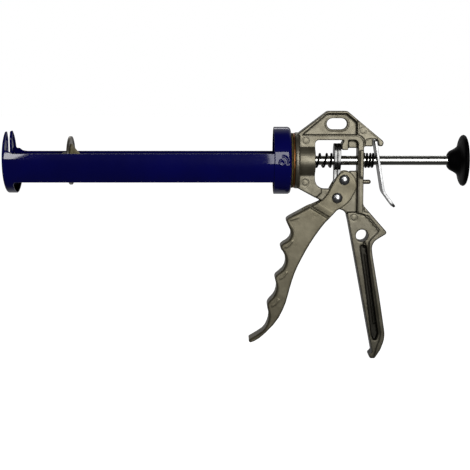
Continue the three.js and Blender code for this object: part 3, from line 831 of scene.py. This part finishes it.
def finger_front():
    """The grooved front of the trigger, from its upper lip to its tip."""
    return smooth_line([
        (60.8, -38.8), (45, -47.4), (42.4, -49.6), (42.9, -53), (46.5, -61), (44.4, -66.8), (38.4, -70.9),
        (37.4, -74), (40.4, -78.6), (42, -85.4), (39.8, -92.2), (33.6, -97.7), (32.8, -101), (34.3, -107),
        (32.4, -114.6), (27.2, -120.7), (26.2, -124.6), (27.7, -131.6), (26.6, -138.6), (22.8, -145.4),
        (14.4, -151), (10.4, -153.4),
    ], 3)


def crest_lines():
    """Light ridges that run inwards from the crests."""
    (x, z), *others = CRESTS
    return [*[[(x + 4.5, z + 0.8), (x + 7.6, z + 3), (x + 9.8, z + 6)] for x, z in others],
            [(x + 3, z - 0.6), (x + 9, z + 1.4)]]


def trigger():
    lever = cast_copy("trigger", "trigger_looks", LEVER_VOXEL, 4)
    front, ridge_lines = finger_front(), crest_lines()

    def rounded(x, y, z):
        """The rounded finger edge with its ridges, and the ramp and groove of the slanted step."""
        from_crest = np.min([np.hypot(x - cx, z - cz) for cx, cz in CRESTS], axis=0)
        roll = 1.2 + 1.2 * np.clip((from_crest - 3) / 7, 0, 1)
        d = np.clip(distance_to_line(x, z, front), 0, roll)
        fall = roll - np.sqrt(np.maximum(roll**2 - (roll - d) ** 2, 0))
        ridges = sum(profile(distance_to_line(x, z, line), 0.9, 0.3) for line in ridge_lines)
        foot = profile(distance_to_line(x, z, [(63.6, -38.4), (78, -47.2)]), 2, -1.3)
        along, up = x - STEP_AT[0], z - STEP_AT[1]
        above = (along * STEP_RUN[1] + up * STEP_RUN[0]) / math.hypot(*STEP_RUN)
        ramp = 1.5 * np.clip(1 - above / 4.5, 0, 1)
        on_grip = (up + along * STEP_SLOPE < -0.6) & (np.abs(y) > FINGER_HALF - 1.6)
        on_cheek = (above > 0.3) & (np.abs(y) > 7) & (np.abs(y) < 8.8)
        return np.where(on_grip, ridges - fall + foot, np.where(on_cheek, ramp, 0))

    relief(lever, rounded, facing=0.3)
    smooth = lever.modifiers.new("smooth", "SMOOTH")
    smooth.factor = 0.5
    smooth.iterations = 4
    apply_modifiers(lever)
    finish_piece(lever, LEVER, "trigger", "cast_trigger", "trigger", angle=180)


# ---- the gun ----
cradle_pressing()
rear_cup()
cradle_rivet(-1, "cradle_rivet_left")
cradle_rivet(1, "cradle_rivet_right")
push_rod()
piston()
knob()
hub()
stop_peg()
domed_rivet("pivot_rivet", "frame")
domed_rivet("drive_rivet", "trigger")
grip_plates()
release_plate()
coil("main_spring", 4.3, "frame")
coil("release_spring", 3.2, "frame")
frame_casting()
trigger()


# ---- studio ----
FLOOR_REACH = 12
FLOOR_GLOW = 0.96
DIM_LIGHT = 0.05  # of the surroundings in front of the gun
BACK_LIGHT = 0.36  # of the surroundings behind it


def white_floor():
    """A pale, faintly glowing floor, kept out of reflections and bounced light."""
    mesh = bpy.data.meshes.new("floor")
    reach = FLOOR_REACH
    corners = [(-reach, -reach, 0), (reach, -reach, 0), (reach, reach, 0), (-reach, reach, 0)]
    mesh.from_pydata(corners, [], [(0, 1, 2, 3)])
    floor = link("floor", mesh)
    paper = bpy.data.materials.new("white_paper")
    paper.use_nodes = True
    shader = paper.node_tree.nodes["Principled BSDF"]
    shader.inputs["Base Color"].default_value = (0.8, 0.8, 0.8, 1)
    shader.inputs["Roughness"].default_value = 1
    shader.inputs["Specular IOR Level"].default_value = 0
    shader.inputs["Emission Color"].default_value = (1, 1, 1, 1)
    shader.inputs["Emission Strength"].default_value = FLOOR_GLOW
    mesh.materials.append(paper)
    floor.visible_diffuse = False
    floor.visible_glossy = False


def surroundings():
    """The camera sees plain white; as light and in reflections it is dim, and less so behind the gun."""
    world = bpy.data.worlds.new("studio")
    bpy.context.scene.world = world
    world.use_nodes = True
    nodes, links = world.node_tree.nodes, world.node_tree.links
    background = nodes["Background"]
    background.inputs["Color"].default_value = (1, 1, 1, 1)
    split = nodes.new("ShaderNodeSeparateXYZ")
    links.new(nodes.new("ShaderNodeTexCoord").outputs["Generated"], split.inputs["Vector"])
    around = nodes.new("ShaderNodeMapRange")
    around.interpolation_type = "SMOOTHSTEP"
    around.inputs["From Min"].default_value = 0.15
    around.inputs["From Max"].default_value = 0.75
    around.inputs["To Min"].default_value = DIM_LIGHT
    around.inputs["To Max"].default_value = BACK_LIGHT
    links.new(split.outputs["Y"], around.inputs["Value"])
    seen = nodes.new("ShaderNodeMix")
    links.new(nodes.new("ShaderNodeLightPath").outputs["Is Camera Ray"], seen.inputs["Factor"])
    links.new(around.outputs["Result"], seen.inputs["A"])
    seen.inputs["B"].default_value = 1
    links.new(seen.outputs["Result"], background.inputs["Strength"])


def softbox(name, at, size, brightness, tilt=90):
    """A softbox turned about X by tilt degrees: 0 shines straight down and 90 along +Y."""
    data = bpy.data.lights.new(name, "AREA")
    data.shape = "RECTANGLE"
    data.size, data.size_y = size
    data.energy = brightness * math.pi * size[0] * size[1]
    lamp = link(name, data)
    lamp.location = at
    lamp.rotation_euler = (math.radians(tilt), 0, 0)
    lamp.visible_camera = False


def studio():
    """Floor, surroundings and lights, in metres."""
    white_floor()
    surroundings()
    softbox("wide_box", (0.246, -0.96, 0.385), (0.378, 0.73), 6)
    softbox("strip_box", (-0.63, -2, 0.9), (0.08, 0.9), 12)
    # this tilt aims up over the gun from behind, so only the edge of its light reaches the gun
    softbox("back_box", (0, 2.2, 1.9), (1.8, 0.9), 4, tilt=-130)


FOCAL_RATIO = 1080 / 470  # focal length over picture width
CAMERA_AT = (-0.00125, -0.918, 0.2221)
CAMERA_DIP = 7.2  # degrees below level


def camera():
    data = bpy.data.cameras.new("camera")
    data.sensor_width = 36
    data.lens = FOCAL_RATIO * data.sensor_width
    data.clip_start, data.clip_end = 0.05, 50
    obj = link("camera", data)
    obj.location = CAMERA_AT
    obj.rotation_euler = (math.radians(90 - CAMERA_DIP), 0, 0)
    bpy.context.scene.camera = obj


studio()
camera()
bpy.context.scene.view_settings.view_transform = "Standard"
